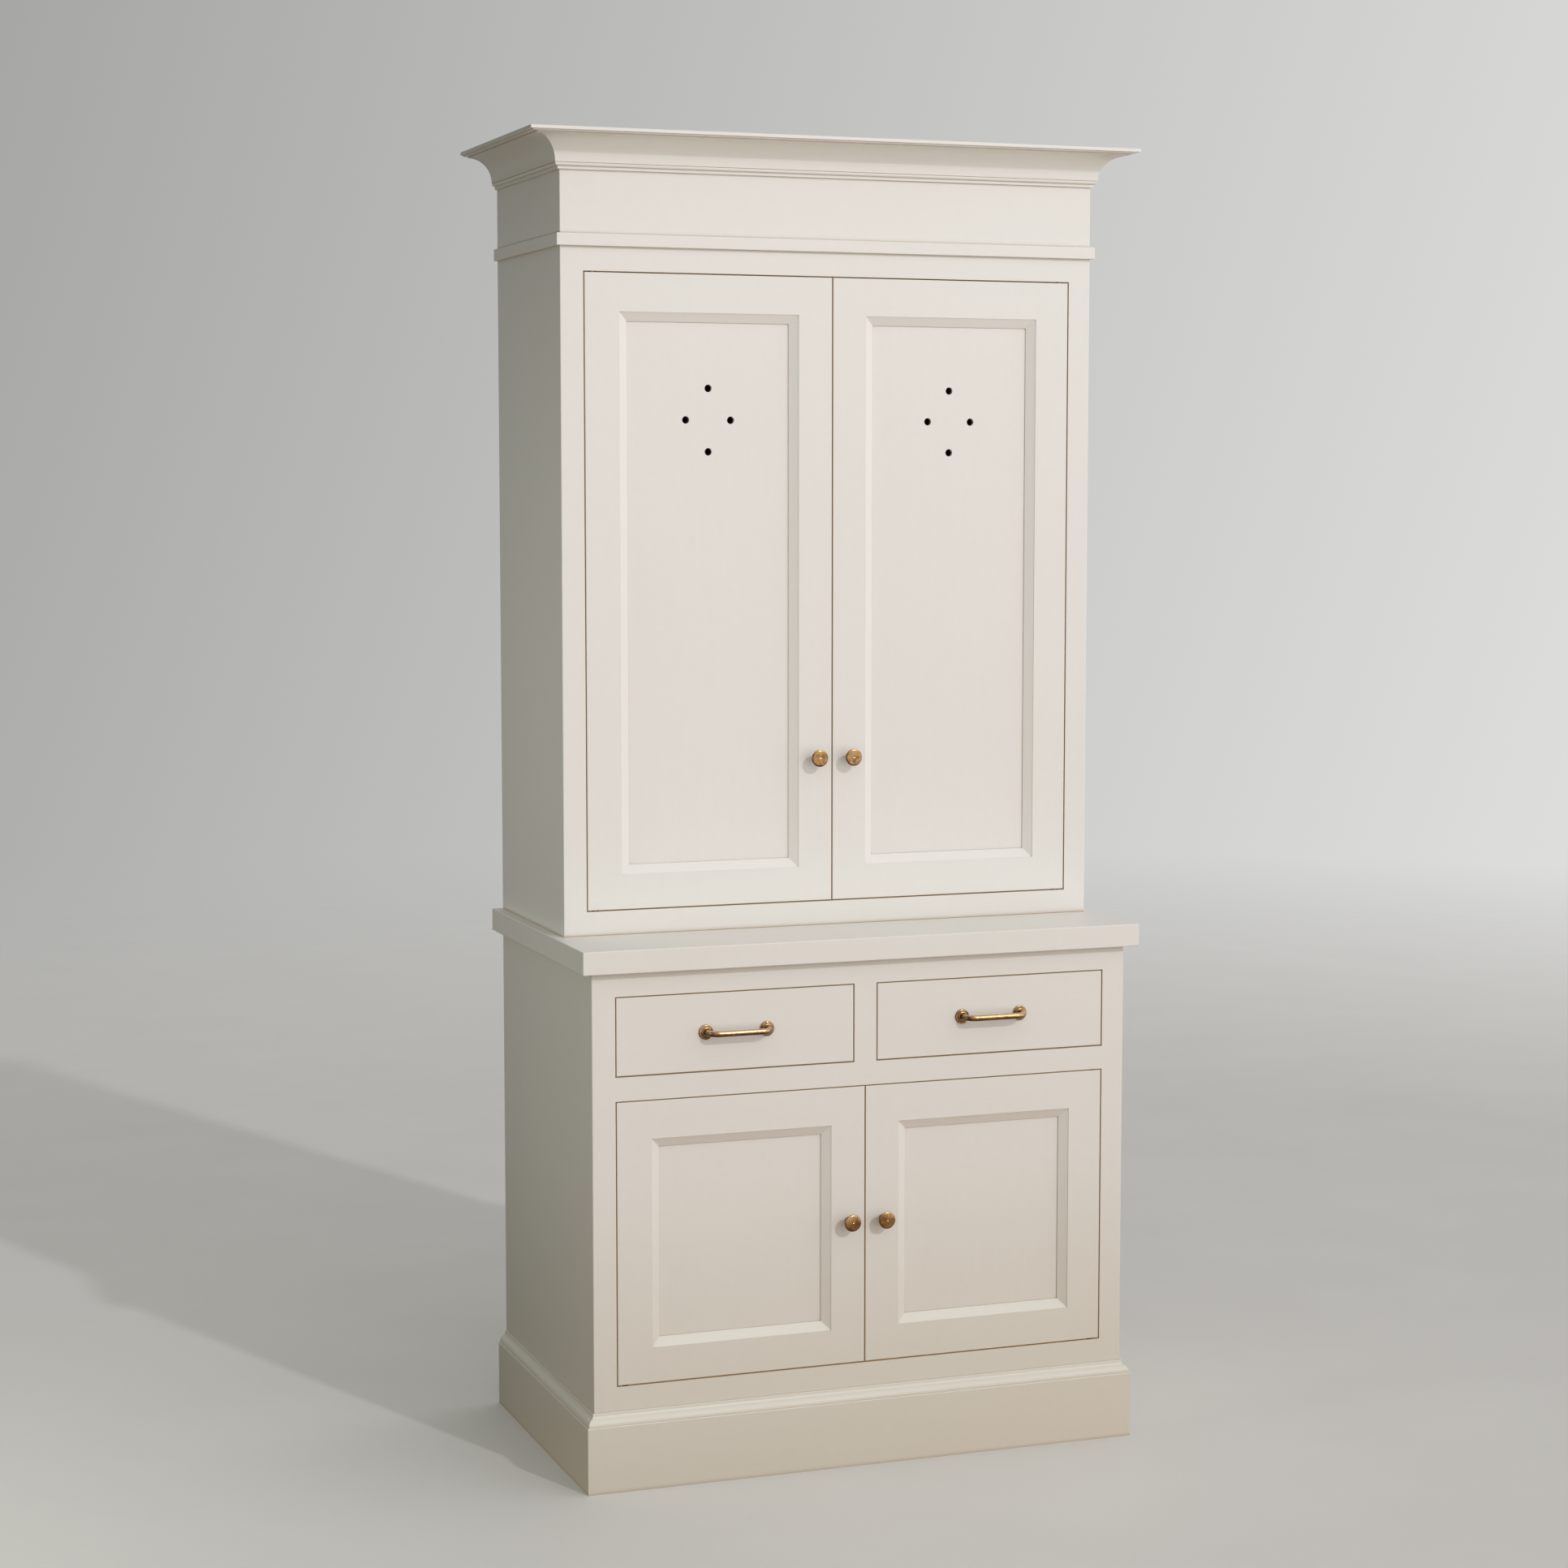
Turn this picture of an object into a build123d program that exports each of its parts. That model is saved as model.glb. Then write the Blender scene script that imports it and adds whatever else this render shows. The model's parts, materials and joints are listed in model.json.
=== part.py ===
from build123d import *
import os

# Painted armoire in two stages.
#
# The base stands on a plinth and holds a two-door cupboard under two drawers, closed by an
# overhanging countertop. A shallower two-door cupboard stands on the countertop and ends in a
# frieze, a flat band and a coved cornice. The inset doors turn on pivot pins let into their top
# and bottom ends, and the drawers slide on wooden runners.
#
# Millimetres, +X to the viewer's right, +Y to the back, +Z up. The origin is the centre of the
# overall box, on the floor.

# ---------------------------------------------------------------- driving dimensions

HEIGHT = 2200.0
CARCASS_WIDTH = 943.0
BASE_DEPTH = 547.0
UPPER_DEPTH = 390.0
PULL_PROJECTION = 32.0  # the drawer pulls are the foremost pieces

PLINTH_HEIGHT = 110.5
PLINTH_THICKNESS = 14.5
COUNTER_TOP = 890.0
COUNTER_THICKNESS = 38.0
COUNTER_OVERHANG = 19.5
BAND_BOTTOM = 2017.0
BAND_HEIGHT = 20.0
BAND_THICKNESS = 6.5
CORNICE_HEIGHT = 62.0
CORNICE_PROJECTION = 64.0

FRAME_THICKNESS = 20.0
FRAME_STILE = 39.0
BASE_DOOR_OPENING = (171.4, 641.4)
DRAWER_OPENING = (680.6, 812.1)
UPPER_DOOR_OPENING = (930.0, 1977.4)
BOTTOM_RAIL_HIDDEN = 70.0  # height of the base's bottom rail, most of it behind the plinth

BOARD = 18.0
DUST_BOARD = 16.0
BACK_PANEL = 6.0
BASE_BACK_DROP = 40.0  # the base's back panel runs this far below its floor
COUNTER_RAIL_WIDTH = 80.0
ARRIS = 1.5  # rounding of the carcass's outer arrises
BAND_ARRIS = 1.2
SHELF_ARRIS = 2.0
STAGE_CHAMFER = 0.8  # where the upper stage stands on the countertop

GAP = 2.0  # shadow gap round every door and drawer front
DOOR_THICKNESS = 22.0
DOOR_STILE = 59.0
DOOR_TOP_RAIL = 62.5
DOOR_BOTTOM_RAIL = 58.0
PANEL_DEPTH = 11.0  # from the door's face back to the panel's face
PANEL_THICKNESS = 6.0
GROOVE = 8.0
BEAD_WIDTH = 15.0
BEAD_QUIRK = 1.0  # the bead starts this far below the door's face
BEAD_STEP = 1.6  # and ends this far above the panel
VENT_RADIUS = 6.25
VENT_HEIGHT = 1738.4
VENT_SPREAD = (39.1, 52.1)
DOOR_EDGE_ROUND = 1.0

PIVOT_INSET = 14.0  # from the door's hinge edge
PIVOT_DEPTH = 6.5  # from the door's face
PIVOT_RADIUS = 3.0
PIVOT_CLEARANCE = 0.05
PIVOT_IN_DOOR = 14.0
PIVOT_END_GAP = 2.0  # between the pin's end and the bottom of its bush
BUSH_RADIUS = 4.5
BUSH_LENGTH = 10.0
BUSH_COLLAR = (5.5, 1.5)  # radius, thickness

KNOB_INSET = 29.5  # from the door's free edge
KNOB_PROJECTION = 26.4
BASE_KNOB_HEIGHT = 415.5
UPPER_KNOB_HEIGHT = 1174.8

PULL_CENTRES = 105.5
PULL_BAR_RADIUS = 5.0
PULL_BEND = 15.0

CATCH = (72.0, 12.0, 13.0)  # width, depth, height
CATCH_MAGNET = (24.0, 4.0, 6.0)
CATCH_MAGNET_PLACES = (-18.0, 18.0)
CATCH_GAP = 0.5  # between a magnet and the strike plate before it
STRIKE = (30.0, 1.5, 11.0)
STRIKE_INSET = 2.0  # from the door's free edge

SCREW_RADIUS = 2.0
SCREW_HEAD = (4.0, 2.4)  # radius, height
SCREW_HEAD_ROUND = 0.8
SCREW_SLOT = 1.0  # width and depth
SCREW_HOLE_RADIUS = 2.5
THREAD_CLEARANCE = 0.05
THREAD_DEPTH = 9.0
THREAD_SPARE = 1.0  # a screw ends this far before the bottom of its hole

BACK_SCREW_PLACES = (-400.0, -200.0, 0.0, 200.0, 400.0)
BACK_SCREW_RADIUS = 1.75
BACK_SCREW_HEAD = (3.5, 3.0)  # radius, height
BACK_SCREW_LENGTH = 22.0
BACK_SCREW_SUNK = 0.3
BACK_SCREW_CROSS = (4.8, 0.8, 1.0)  # length, width and depth of each slot

JOINING_SCREW_X = 380.0
JOINING_SCREW_Y = (75.0, 45.0)  # behind the upper stage's face, before its back panel
JOINING_SCREW_RADIUS = 2.5
JOINING_SCREW_DEPTH = 24.0  # in the countertop
JOINING_HEAD = (5.0, 3.0)  # radius, height
JOINING_HEAD_SUNK = 1.0
JOINING_SLOT = (7.0, 1.2)  # length, width and depth
JOINING_CLEARANCE = 0.3

DRAWER_BOX = (684.0, 800.0)  # lower and upper edge of the drawer's sides
DRAWER_SIDE = 12.0
DRAWER_LENGTH = 470.0
DRAWER_BOTTOM = 6.0
DRAWER_BOTTOM_RAISE = 8.0
DRAWER_SIDE_CLEARANCE = 2.5  # box side inside the front's edge
DRAWER_BACK_INSET = 6.0  # the back stands before the sides' ends and below their tops
TAIL = (14.0, 9.0, 3.0)  # a dovetail's length, half width at the root, flare at the tip
TAIL_COUNT = 3
RUNNER_PLAY = 0.5
RUNNER_START = 4.5  # behind the face frame's rear face
RUNNER_WIDTH = 31.0
RUNNER_LIP = 4.0  # the outer runner reaches this far inside the drawer's side
GUIDE_HEIGHT = 16.0
KICKER_PLAY = 2.0

UPPER_SHELVES = (1186.0, 1444.0, 1702.0)  # underside of each shelf
BASE_SHELF = 400.0
SHELF_SETBACK = 40.0  # behind the face frame's front
SHELF_PLAY = 1.0
SHELF_PIN = (2.5, 9.0, 8.0)  # radius, length in the side, length under the shelf
SHELF_PIN_TAB = (8.0, 1.5)  # width, thickness
SHELF_PIN_INSET = 40.0  # from the shelf's front and rear edge

# Profiles. A run is two points for a line or three for an arc. For mouldings a point is the
# projection from the carcass and the height above the moulding's foot, for turned pieces it is
# the radius and the distance from the face they stand on.

PLINTH_MOULDING_PROJECTION = 12.2
PLINTH_MOULDING_PROFILE = (
    ((0, 0), (0, 20.5)),
    ((0, 20.5), (1.2, 20.5)),
    ((1.2, 20.5), (2.2, 20.0), (2.6, 18.9)),
    ((2.6, 18.9), (3.2, 15.1), (5.0, 12.1)),
    ((5.0, 12.1), (5.8, 12.1)),
    ((5.8, 12.1), (10.2, 7.9), (12.2, 2.1)),
    ((12.2, 2.1), (12.2, 0)),
    ((12.2, 0), (0, 0)),
)
CORNICE_PROFILE = (
    ((0, 0), (0, 62)),
    ((0, 62), (64, 62)),
    ((64, 62), (64, 56.9)),
    ((64, 56.9), (59.5, 56.9)),
    ((59.5, 56.9), (58.9, 55.2), (57.2, 54.6)),
    ((57.2, 54.6), (51, 54.6)),
    ((51, 54.6), (51, 52.6)),
    ((51, 52.6), (49.6, 52.6)),
    ((49.6, 52.6), (21.245, 40.855), (9.5, 12.5)),
    ((9.5, 12.5), (9.5, 11.3)),
    ((9.5, 11.3), (8, 11.3)),
    ((8, 11.3), (8.6, 8.4), (6.6, 5.8)),
    ((6.6, 5.8), (4, 5.8)),
    ((4, 5.8), (4, 0.6)),
    ((4, 0.6), (0, 0)),
)
KNOB_CROWN = (11.4, 25.9)  # the rim of the slightly domed face
KNOB_PROFILE = (
    ((0, 0), (5.4, 0)),
    ((5.4, 0), (5.4, 0.8)),
    ((5.4, 0.8), (4.8, 1.5), (4.4, 3)),
    ((4.4, 3), (4.4, 11)),
    ((4.4, 11), (5.8, 17), (10.8, 20.6)),
    ((10.8, 20.6), (13.3, 21.4), (14.5, 23)),
    ((14.5, 23), (13.7, 24.9), KNOB_CROWN),
)
ROSE_PROFILE = (
    ((0, 0), (12.2, 0)),
    ((12.2, 0), (12.2, 1.4)),
    ((12.2, 1.4), (11.8, 2.3), (10.8, 2.7)),
    ((10.8, 2.7), (9, 2.9)),
    ((9, 2.9), (8.2, 4.3), (6.4, 5)),
    ((6.4, 5), (0, 5)),
    ((0, 5), (0, 0)),
)

# ---------------------------------------------------------------- planes of the carcass

HALF = CARCASS_WIDTH / 2
INSIDE = HALF - BOARD
OPENING_HALF = HALF - FRAME_STILE
BACK = (BASE_DEPTH + PULL_PROJECTION) / 2
BASE_FACE = BACK - BASE_DEPTH
UPPER_FACE = BACK - UPPER_DEPTH
PANEL_BACK = BACK - BACK_PANEL
COUNTER_BOTTOM = COUNTER_TOP - COUNTER_THICKNESS
CORNICE_BOTTOM = HEIGHT - CORNICE_HEIGHT
TOP_BOARD_BOTTOM = HEIGHT - BOARD
FRIEZE_JOINT = BAND_BOTTOM + BAND_HEIGHT / 2
DUST_BOARD_TOP = BASE_DOOR_OPENING[1] + DUST_BOARD
COUNTER_RAIL_BOTTOM = COUNTER_BOTTOM - BOARD
DIVIDER_HALF = BOARD / 2
PIVOT_X = OPENING_HALF - GAP - PIVOT_INSET
BASE_FLOOR = (BASE_DOOR_OPENING[0] - BOARD, BASE_DOOR_OPENING[0])
UPPER_FLOOR = (UPPER_DOOR_OPENING[0] - BOARD, UPPER_DOOR_OPENING[0])
UPPER_CEILING = (UPPER_DOOR_OPENING[1], UPPER_DOOR_OPENING[1] + BOARD)
BASE_SCREW_HEIGHTS = (
    sum(BASE_FLOOR) / 2,
    BASE_DOOR_OPENING[1] + DUST_BOARD / 2,
    COUNTER_BOTTOM - BOARD / 2,
)
UPPER_SCREW_HEIGHTS = (sum(UPPER_FLOOR) / 2, sum(UPPER_CEILING) / 2)
JOINING_HEAD_TOP = UPPER_FLOOR[1] - JOINING_HEAD_SUNK
JOINING_HEAD_BOTTOM = JOINING_HEAD_TOP - JOINING_HEAD[1]
CATCH_FRONT = DOOR_THICKNESS + STRIKE[1] + CATCH_GAP  # behind the door's face

# ---------------------------------------------------------------- small makers


def board(x0, x1, y0, y1, z0, z1):
    """A plain board between two opposite corners."""
    middle = Pos((x0 + x1) / 2, (y0 + y1) / 2, (z0 + z1) / 2)
    return middle * Box(abs(x1 - x0), abs(y1 - y0), abs(z1 - z0))


def upright_rod(x, y, z0, z1, radius):
    """A cylinder along Z."""
    return Pos(x, y, (z0 + z1) / 2) * Cylinder(radius, abs(z1 - z0))


def level_rod(x, y0, y1, z, radius):
    """A cylinder along Y."""
    return Pos(x, (y0 + y1) / 2, z) * Rot(90, 0, 0) * Cylinder(radius, abs(y1 - y0))


def mirrored(pieces):
    """The same pieces on the other side of the centre plane."""
    return [mirror(piece, about=Plane.YZ) for piece in pieces]


def both_sides(pieces):
    return pieces + mirrored(pieces)


def cut(piece, tools):
    for tool in tools:
        piece -= tool
    return piece


def profile(runs):
    """A face inside runs of points: a run of two points is a line, one of three an arc."""
    edges = [ThreePointArc(*run) if len(run) == 3 else Line(*run) for run in runs]
    return make_face(Curve() + edges)


def edges_at(piece, x=(), y=(), z=()):
    """Edges whose centre lies on one of the given planes in each direction that is named."""
    tolerance = 0.01

    def on_one(value, planes):
        return not planes or min(abs(value - plane) for plane in planes) < tolerance

    def wanted(edge):
        centre = edge.center()
        return on_one(centre.X, x) and on_one(centre.Y, y) and on_one(centre.Z, z)

    return piece.edges().filter_by(wanted)


def round_face_edges(piece, face, x_planes, z_planes, radius):
    """Round the edges of the front face that lie on the outline of a door or drawer front."""
    outline = list(edges_at(piece, x=x_planes, y=(face,)))
    outline += list(edges_at(piece, y=(face,), z=z_planes))
    return fillet(outline, radius)


def write(name, *pieces):
    """Write one node, one STEP file, however many separate solids it has."""
    solids = [solid for piece in pieces for solid in piece.solids()]
    node = solids[0] if len(solids) == 1 else Compound(children=solids)
    node.label = name
    export_step(node, f"parts/{name}.step")


# ---------------------------------------------------------------- mouldings round three sides


def trim_runs(section, reach, face):
    """Front, left and right run of a moulding, mitred at the front corners.

    The section is drawn with x outwards from the carcass and y as the height. The runs end
    flush with the back of the carcass.
    """
    outer = HALF + reach
    low = section.bounding_box().min.Y
    high = section.bounding_box().max.Y
    front_plane = Plane(origin=(outer, face, 0), x_dir=(0, -1, 0), z_dir=(-1, 0, 0))
    side_plane = Plane(origin=(-HALF, face - reach, 0), x_dir=(-1, 0, 0), z_dir=(0, 1, 0))
    front = extrude(front_plane * section, amount=2 * outer)
    left = extrude(side_plane * section, amount=BACK - face + reach)
    front_plan = [(-HALF, face), (HALF, face), (outer, face - reach), (-outer, face - reach)]
    left_plan = [(-HALF, face), (-outer, face - reach), (-outer, BACK), (-HALF, BACK)]
    floor = Plane.XY.offset(low)
    front &= extrude(floor * make_face(Polyline(front_plan, close=True)), amount=high - low)
    left &= extrude(floor * make_face(Polyline(left_plan, close=True)), amount=high - low)
    return [front, left] + mirrored([left])


def flat_section(z0, z1, thickness, radius, corners):
    """A flat board's section with one or both of its outer corners rounded, the upper one first."""
    section = Pos(thickness / 2, (z0 + z1) / 2) * Rectangle(thickness, z1 - z0)
    outer = section.vertices().sort_by(Axis.X)[-2:].sort_by(Axis.Y)
    return fillet(outer[-corners:], radius)


# ---------------------------------------------------------------- base carcass


def pivot_seats(face, opening):
    """Round seats for the pivot bushes, in the rails below and above a pair of doors."""
    y = face + PIVOT_DEPTH
    low, high = opening
    seats = [upright_rod(-PIVOT_X, y, low - BUSH_LENGTH, low, BUSH_RADIUS)]
    seats += [upright_rod(-PIVOT_X, y, high, high + BUSH_LENGTH, BUSH_RADIUS)]
    return both_sides(seats)


def shelf_pin_holes(undersides, front, back):
    """Holes in the left side for the pins of each shelf, and the pins that fill them."""
    radius, inside, under = SHELF_PIN
    width, thickness = SHELF_PIN_TAB
    holes = []
    pins = []
    for underside in undersides:
        for y in (front + SHELF_PIN_INSET, back - SHELF_PIN_INSET):
            turn = Pos(-INSIDE, y, underside - radius) * Rot(0, 90, 0)
            holes.append(turn * Pos(0, 0, -inside / 2) * Cylinder(radius, inside))
            pin = turn * Pos(0, 0, (under - inside) / 2) * Cylinder(radius, inside + under)
            y_span = (y - width / 2, y + width / 2)
            pins.append(pin + board(-INSIDE, -INSIDE + under, *y_span, underside - thickness, underside))
    return holes, pins


def face_frame(face, outer_z, rails, mullion=None):
    """Two full-height stiles with rails between them, and a short mullion if there is one."""
    rear = face + FRAME_THICKNESS
    stile = board(-HALF, -OPENING_HALF, face, rear, *outer_z)
    stile = fillet(edges_at(stile, x=(-HALF,), y=(face,)), ARRIS)
    members = both_sides([stile])
    members += [board(-OPENING_HALF, OPENING_HALF, face, rear, *rail) for rail in rails]
    if mullion:
        members.append(board(-FRAME_STILE / 2, FRAME_STILE / 2, face, rear, *mullion))
    return members


def countersunk_screw(x, z):
    """Head and shank of a screw that holds the back panel."""
    radius, height = BACK_SCREW_HEAD
    outer = BACK - BACK_SCREW_SUNK
    head = Pos(x, outer - height / 2, z) * Rot(-90, 0, 0) * Cone(BACK_SCREW_RADIUS, radius, height)
    return head + level_rod(x, outer - BACK_SCREW_LENGTH, outer - height, z, BACK_SCREW_RADIUS)


def back_screws(z):
    """One row of screws with cross slots."""
    length, width, depth = BACK_SCREW_CROSS
    outer = BACK - BACK_SCREW_SUNK
    screws = []
    for x in BACK_SCREW_PLACES:
        screw = countersunk_screw(x, z)
        for across, up in ((length / 2, width / 2), (width / 2, length / 2)):
            screw -= board(x - across, x + across, outer - depth, outer, z - up, z + up)
        screws.append(screw)
    return screws


def screw_seats(z):
    """The space one row of back screws takes in the panel and in the board before it."""
    seats = []
    for x in BACK_SCREW_PLACES:
        mouth = level_rod(x, BACK - BACK_SCREW_SUNK, BACK, z, BACK_SCREW_HEAD[0])
        seats.append(countersunk_screw(x, z) + mouth)
    return seats


def make_plinth():
    section = flat_section(0, PLINTH_HEIGHT, PLINTH_THICKNESS, ARRIS, corners=1)
    write("plinth_boards", *trim_runs(section, PLINTH_THICKNESS, BASE_FACE))
    moulding = Pos(0, PLINTH_HEIGHT) * profile(PLINTH_MOULDING_PROFILE)
    write("plinth_moulding", *trim_runs(moulding, PLINTH_MOULDING_PROJECTION, BASE_FACE))


def make_base():
    rear = BASE_FACE + FRAME_THICKNESS
    low, high = BASE_DOOR_OPENING
    holes, pins = shelf_pin_holes([BASE_SHELF], BASE_FACE + SHELF_SETBACK, PANEL_BACK)
    side = cut(board(-HALF, -INSIDE, rear, BACK, 0, COUNTER_BOTTOM), holes)
    write("base_left_side", side)
    write("base_right_side", *mirrored([side]))

    rails = ((low - BOTTOM_RAIL_HIDDEN, low), (high, DRAWER_OPENING[0]), (DRAWER_OPENING[1], COUNTER_BOTTOM))
    seats = pivot_seats(BASE_FACE, BASE_DOOR_OPENING)
    members = face_frame(BASE_FACE, (0, COUNTER_BOTTOM), rails, DRAWER_OPENING)
    write("base_face_frame", *[cut(member, seats) for member in members])

    rows = [screw_seats(z) for z in BASE_SCREW_HEIGHTS]
    floor = board(-INSIDE, INSIDE, rear, PANEL_BACK, *BASE_FLOOR)
    write("base_floor", cut(floor, rows[0]))
    dust_board = board(-INSIDE, INSIDE, rear, PANEL_BACK, high, DUST_BOARD_TOP)
    write("drawer_dust_board", cut(dust_board, rows[1]))
    rail_z = (COUNTER_RAIL_BOTTOM, COUNTER_BOTTOM)
    front_rail = board(-INSIDE, INSIDE, rear, rear + COUNTER_RAIL_WIDTH, *rail_z)
    rear_rail = board(-INSIDE, INSIDE, PANEL_BACK - COUNTER_RAIL_WIDTH, PANEL_BACK, *rail_z)
    write("counter_rails", front_rail, cut(rear_rail, rows[2]))
    back = board(-INSIDE, INSIDE, PANEL_BACK, BACK, BASE_FLOOR[0] - BASE_BACK_DROP, COUNTER_BOTTOM)
    write("base_back", cut(back, sum(rows, [])))

    divider = board(-DIVIDER_HALF, DIVIDER_HALF, rear, PANEL_BACK, DUST_BOARD_TOP, COUNTER_RAIL_BOTTOM)
    write("drawer_divider", divider)
    return pins


def make_shelf(underside, face):
    half = INSIDE - SHELF_PLAY
    front = face + SHELF_SETBACK
    shelf = board(-half, half, front, PANEL_BACK - SHELF_PLAY, underside, underside + BOARD)
    return fillet(edges_at(shelf, y=(front,), z=(underside, underside + BOARD)), SHELF_ARRIS)


def make_drawer_slides():
    """Runners under the drawer sides, guides beside them and kickers above them."""
    start = BASE_FACE + FRAME_THICKNESS + RUNNER_START
    top = DRAWER_BOX[0] - RUNNER_PLAY
    box_inner = FRAME_STILE / 2 + GAP + DRAWER_SIDE_CLEARANCE
    box_outer = OPENING_HALF - GAP - DRAWER_SIDE_CLEARANCE
    inner_x = (DIVIDER_HALF, DIVIDER_HALF + RUNNER_WIDTH)
    outer_x = (box_outer - DRAWER_SIDE - RUNNER_LIP, INSIDE)
    guides_x = ((DIVIDER_HALF, box_inner - RUNNER_PLAY), (box_outer + RUNNER_PLAY, INSIDE))
    kicker_z = (DRAWER_BOX[1] + KICKER_PLAY, COUNTER_RAIL_BOTTOM)
    right = []
    for x_span in (inner_x, outer_x):
        right.append(board(*x_span, start, PANEL_BACK, DUST_BOARD_TOP, top))
        right.append(board(*x_span, start, PANEL_BACK, *kicker_z))
    for x_span in guides_x:
        right.append(board(*x_span, start, PANEL_BACK, top, top + GUIDE_HEIGHT))
    write("drawer_slides", *both_sides(right))


def joining_places():
    rows = (UPPER_FACE + JOINING_SCREW_Y[0], PANEL_BACK - JOINING_SCREW_Y[1])
    return [(x, y) for x in (-JOINING_SCREW_X, JOINING_SCREW_X) for y in rows]


def make_countertop():
    side = HALF + COUNTER_OVERHANG
    front = BASE_FACE - COUNTER_OVERHANG
    top = board(-side, side, front, BACK, COUNTER_BOTTOM, COUNTER_TOP)
    arrises = list(edges_at(top, y=(front,)))
    arrises += list(edges_at(top, x=(-side, side), z=(COUNTER_BOTTOM, COUNTER_TOP)))
    top = fillet(arrises, ARRIS)
    pilot_z = (COUNTER_TOP - JOINING_SCREW_DEPTH - THREAD_SPARE, COUNTER_TOP)
    pilot_radius = JOINING_SCREW_RADIUS + THREAD_CLEARANCE
    write("countertop", cut(top, [upright_rod(x, y, *pilot_z, pilot_radius) for x, y in joining_places()]))


def make_joining_screws():
    """Long screws that hold the upper cupboard down on the countertop."""
    half = JOINING_SLOT[0] / 2
    width = JOINING_SLOT[1]
    tip = COUNTER_TOP - JOINING_SCREW_DEPTH
    screws = []
    for x, y in joining_places():
        screw = upright_rod(x, y, JOINING_HEAD_BOTTOM, JOINING_HEAD_TOP, JOINING_HEAD[0])
        screw += upright_rod(x, y, tip, JOINING_HEAD_BOTTOM, JOINING_SCREW_RADIUS)
        slot_y = (y - width / 2, y + width / 2)
        screws.append(screw - board(x - half, x + half, *slot_y, JOINING_HEAD_TOP - width, JOINING_HEAD_TOP))
    write("joining_screws", *screws)


def joining_clearances():
    """The holes for the joining screws and their heads in the upper floor."""
    low, high = UPPER_FLOOR
    holes = []
    for x, y in joining_places():
        holes.append(upright_rod(x, y, low, high, JOINING_SCREW_RADIUS + JOINING_CLEARANCE))
        holes.append(upright_rod(x, y, JOINING_HEAD_BOTTOM, high, JOINING_HEAD[0] + JOINING_CLEARANCE))
    return holes


# ---------------------------------------------------------------- upper carcass


def make_upper():
    rear = UPPER_FACE + FRAME_THICKNESS
    low, high = UPPER_DOOR_OPENING
    holes, pins = shelf_pin_holes(UPPER_SHELVES, UPPER_FACE + SHELF_SETBACK, PANEL_BACK)
    side = board(-HALF, -INSIDE, rear, BACK, COUNTER_TOP, TOP_BOARD_BOTTOM)
    side = chamfer(edges_at(side, x=(-HALF,), z=(COUNTER_TOP,)), STAGE_CHAMFER)
    side = cut(side, holes)
    write("upper_left_side", side)
    write("upper_right_side", *mirrored([side]))

    seats = pivot_seats(UPPER_FACE, UPPER_DOOR_OPENING)
    rails = ((COUNTER_TOP, low), (high, FRIEZE_JOINT))
    *standing, top_rail = face_frame(UPPER_FACE, (COUNTER_TOP, FRIEZE_JOINT), rails)
    members = [top_rail]
    for piece in standing:
        members.append(chamfer(edges_at(piece, y=(UPPER_FACE,), z=(COUNTER_TOP,)), STAGE_CHAMFER))
    write("upper_face_frame", *[cut(member, seats) for member in members])

    rows = [screw_seats(z) for z in UPPER_SCREW_HEIGHTS]
    floor = board(-INSIDE, INSIDE, rear, PANEL_BACK, *UPPER_FLOOR)
    write("upper_floor", cut(floor, rows[0] + joining_clearances()))
    ceiling = board(-INSIDE, INSIDE, rear, PANEL_BACK, *UPPER_CEILING)
    write("upper_ceiling", cut(ceiling, rows[1]))
    back = board(-INSIDE, INSIDE, PANEL_BACK, BACK, COUNTER_TOP, TOP_BOARD_BOTTOM)
    write("upper_back", cut(back, sum(rows, [])))

    frieze = board(-HALF, HALF, UPPER_FACE, rear, FRIEZE_JOINT, TOP_BOARD_BOTTOM)
    write("frieze", fillet(edges_at(frieze, x=(-HALF, HALF), y=(UPPER_FACE,)), ARRIS))
    band = flat_section(BAND_BOTTOM, BAND_BOTTOM + BAND_HEIGHT, BAND_THICKNESS, BAND_ARRIS, corners=2)
    write("frieze_band", *trim_runs(band, BAND_THICKNESS, UPPER_FACE))
    cornice = Pos(0, CORNICE_BOTTOM) * profile(CORNICE_PROFILE)
    write("cornice", *trim_runs(cornice, CORNICE_PROJECTION, UPPER_FACE))
    write("top_board", board(-HALF, HALF, UPPER_FACE, BACK, TOP_BOARD_BOTTOM, HEIGHT))
    return pins


# ---------------------------------------------------------------- fittings on the carcass


def catch_magnets(face, ceiling):
    """Two magnets set flush in the front of a double door catch."""
    y = face + CATCH_FRONT
    middle = ceiling - CATCH[2] / 2
    width, depth, height = CATCH_MAGNET
    z_span = (middle - height / 2, middle + height / 2)
    return [board(x - width / 2, x + width / 2, y, y + depth, *z_span) for x in CATCH_MAGNET_PLACES]


def make_catches():
    width, depth, height = CATCH
    bodies = []
    magnets = []
    for face, (_, ceiling) in ((UPPER_FACE, UPPER_DOOR_OPENING), (BASE_FACE, BASE_DOOR_OPENING)):
        y = face + CATCH_FRONT
        pair = catch_magnets(face, ceiling)
        body = board(-width / 2, width / 2, y, y + depth, ceiling - height, ceiling)
        bodies.append(cut(body, pair))
        magnets += pair
    write("door_catches", *bodies)
    write("catch_magnets", *magnets)


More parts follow.
